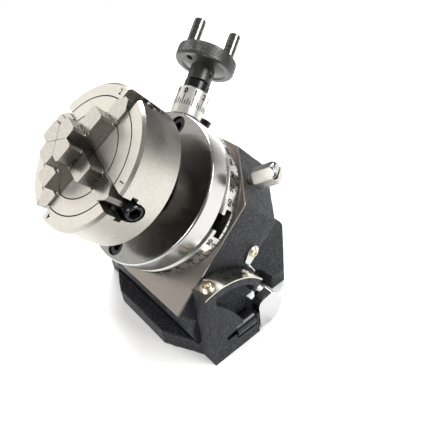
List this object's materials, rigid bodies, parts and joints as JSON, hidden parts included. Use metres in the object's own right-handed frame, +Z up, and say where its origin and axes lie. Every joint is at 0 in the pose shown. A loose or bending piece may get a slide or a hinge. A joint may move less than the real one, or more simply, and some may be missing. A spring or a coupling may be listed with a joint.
{
  "type": "tilting rotary table",
  "caption": "Small tilting rotary table with a worm drive, graduated handwheel dial, tilt arch with lock, and an independent four-jaw chuck bolted on the table.",
  "frame": {"origin": "on the underside of the base, midway between the two cheeks and 32 mm in front of the line under the nose side of the tilt axis (the tilt axis is at Y = -32 mm, Z = 16 mm)", "axes": "+Z up, +X along the tilt axis towards the cheek with the tilt scale, +Y towards the nose of the base plate"},
  "size_m": [0.1137, 0.1496, 0.1272],
  "materials": {
    "cast_paint": "crinkle paint",
    "ground_steel": "satin",
    "chuck_steel": "satin",
    "jaw_steel": "ground",
    "black_oxide": "semi gloss",
    "wheel_grey": "satin",
    "bright_steel": "polished",
    "plain_steel": "satin",
    "bronze": "machined",
    "zinc_yellow": "satin",
    "dial_silver": "satin"
  },
  "bodies": {
    "base": {"base_casting": "cast_paint", "tilt_strip": "ground_steel", "strip_screws": "zinc_yellow"},
    "clamp_screw": {"tilt_clamp_screw": "black_oxide"},
    "clamp_shoe": {"tilt_clamp_shoe": "bright_steel"},
    "tilt_body": {"body_casting": "cast_paint", "hinge_pins": "plain_steel", "bottom_cover": "plain_steel", "cover_screws": "zinc_yellow", "tilt_pointer": "ground_steel", "pointer_screw": "zinc_yellow", "eccentric_bush": "plain_steel", "bush_clamp_screw": "black_oxide", "lock_pad": "bronze", "thrust_ring": "bronze"},
    "lock": {"lock_knob": "bright_steel"},
    "table": {"table_disc": "ground_steel", "spindle": "plain_steel", "spindle_screws": "black_oxide", "worm_wheel": "bronze", "spindle_nut": "plain_steel", "chuck_adapter": "ground_steel", "adapter_screws": "black_oxide", "t_nuts": "plain_steel", "chuck_body": "chuck_steel", "thrust_blocks": "plain_steel"},
    "worm": {"worm_shaft": "plain_steel", "dial_collar": "black_oxide", "collar_screw": "black_oxide", "handwheel": "wheel_grey", "hub_screw": "black_oxide", "handle_pins": "plain_steel"},
    "dial": {"dial_sleeve": "dial_silver"},
    "handle_1": {"handle_1": "plain_steel"},
    "handle_2": {"handle_2": "plain_steel"},
    "jaw_1": {"jaw_1": "jaw_steel"},
    "jaw_screw_1": {"jaw_screw_1": "black_oxide"},
    "jaw_2": {"jaw_2": "jaw_steel"},
    "jaw_screw_2": {"jaw_screw_2": "black_oxide"},
    "jaw_3": {"jaw_3": "jaw_steel"},
    "jaw_screw_3": {"jaw_screw_3": "black_oxide"},
    "jaw_4": {"jaw_4": "jaw_steel"},
    "jaw_screw_4": {"jaw_screw_4": "black_oxide"}
  },
  "joints": [
    {"name": "tilt", "type": "hinge", "parent": "base", "child": "tilt_body", "pos_m": [0, -0.032, 0.016], "axis": [1, 0, 0], "range_deg": [-40, 50]},
    {"name": "clamp_screw_turn", "type": "hinge", "parent": "base", "child": "clamp_screw", "pos_m": [0.045, -0.018, 0.0104], "axis": [0, 1, 0], "range_deg": [-360, 0]},
    {"name": "clamp_shoe_slide", "type": "slide", "parent": "base", "child": "clamp_shoe", "axis": [0, 1, 0], "range_m": [0, 0.0008]},
    {"name": "lock_knob_turn", "type": "hinge", "parent": "tilt_body", "child": "lock", "pos_m": [0.02953, 0.00813, 0.07474], "axis": [0.7547, 0.5026, 0.4217], "range_deg": [-180, 0]},
    {"name": "table_spin", "type": "hinge", "parent": "tilt_body", "child": "table", "pos_m": [0, -0.01692, 0.06259], "axis": [0, -0.6428, 0.766], "continuous": true},
    {"name": "worm_spin", "type": "hinge", "parent": "tilt_body", "child": "worm", "pos_m": [-0.03585, 0.01516, 0.07384], "axis": [-0.2588, 0.7399, 0.6209], "continuous": true},
    {"name": "dial_turn", "type": "hinge", "parent": "worm", "child": "dial", "pos_m": [-0.03999, 0.02699, 0.08378], "axis": [-0.2588, 0.7399, 0.6209], "continuous": true},
    {"name": "handle_1_spin", "type": "hinge", "parent": "worm", "child": "handle_1", "pos_m": [-0.04351, 0.06242, 0.10291], "axis": [-0.2588, 0.7399, 0.6209], "continuous": true},
    {"name": "handle_2_spin", "type": "hinge", "parent": "worm", "child": "handle_2", "pos_m": [-0.05667, 0.04928, 0.11308], "axis": [-0.2588, 0.7399, 0.6209], "continuous": true},
    {"name": "jaw_1_slide", "type": "slide", "parent": "table", "child": "jaw_1", "axis": [0.9613, -0.2112, -0.1772], "range_m": [0, 0.014]},
    {"name": "jaw_screw_1_turn", "type": "hinge", "parent": "table", "child": "jaw_screw_1", "pos_m": [0.01922, -0.05091, 0.09452], "axis": [0.9613, -0.2112, -0.1772], "range_deg": [-5, 3370]},
    {"name": "jaw_2_slide", "type": "slide", "parent": "table", "child": "jaw_2", "axis": [0.2756, 0.7364, 0.6179], "range_m": [0, 0.014]},
    {"name": "jaw_screw_2_turn", "type": "hinge", "parent": "table", "child": "jaw_screw_2", "pos_m": [0.00551, -0.03195, 0.11042], "axis": [0.2756, 0.7364, 0.6179], "range_deg": [-5, 3370]},
    {"name": "jaw_3_slide", "type": "slide", "parent": "table", "child": "jaw_3", "axis": [-0.9613, 0.2112, 0.1772], "range_m": [0, 0.014]},
    {"name": "jaw_screw_3_turn", "type": "hinge", "parent": "table", "child": "jaw_screw_3", "pos_m": [-0.01922, -0.04246, 0.1016], "axis": [-0.9613, 0.2112, 0.1772], "range_deg": [-5, 3370]},
    {"name": "jaw_4_slide", "type": "slide", "parent": "table", "child": "jaw_4", "axis": [-0.2756, -0.7364, -0.6179], "range_m": [0, 0.014]},
    {"name": "jaw_screw_4_turn", "type": "hinge", "parent": "table", "child": "jaw_screw_4", "pos_m": [-0.00551, -0.06141, 0.0857], "axis": [-0.2756, -0.7364, -0.6179], "range_deg": [-5, 3370]}
  ],
  "couplings": [
    {"joint": "worm_spin", "follows": "table_spin", "ratio": 36},
    {"joint": "jaw_screw_1_turn", "follows": "jaw_1_slide", "rad_per_m": 4188.8},
    {"joint": "jaw_screw_2_turn", "follows": "jaw_2_slide", "rad_per_m": 4188.8},
    {"joint": "jaw_screw_3_turn", "follows": "jaw_3_slide", "rad_per_m": 4188.8},
    {"joint": "jaw_screw_4_turn", "follows": "jaw_4_slide", "rad_per_m": 4188.8}
  ]
}
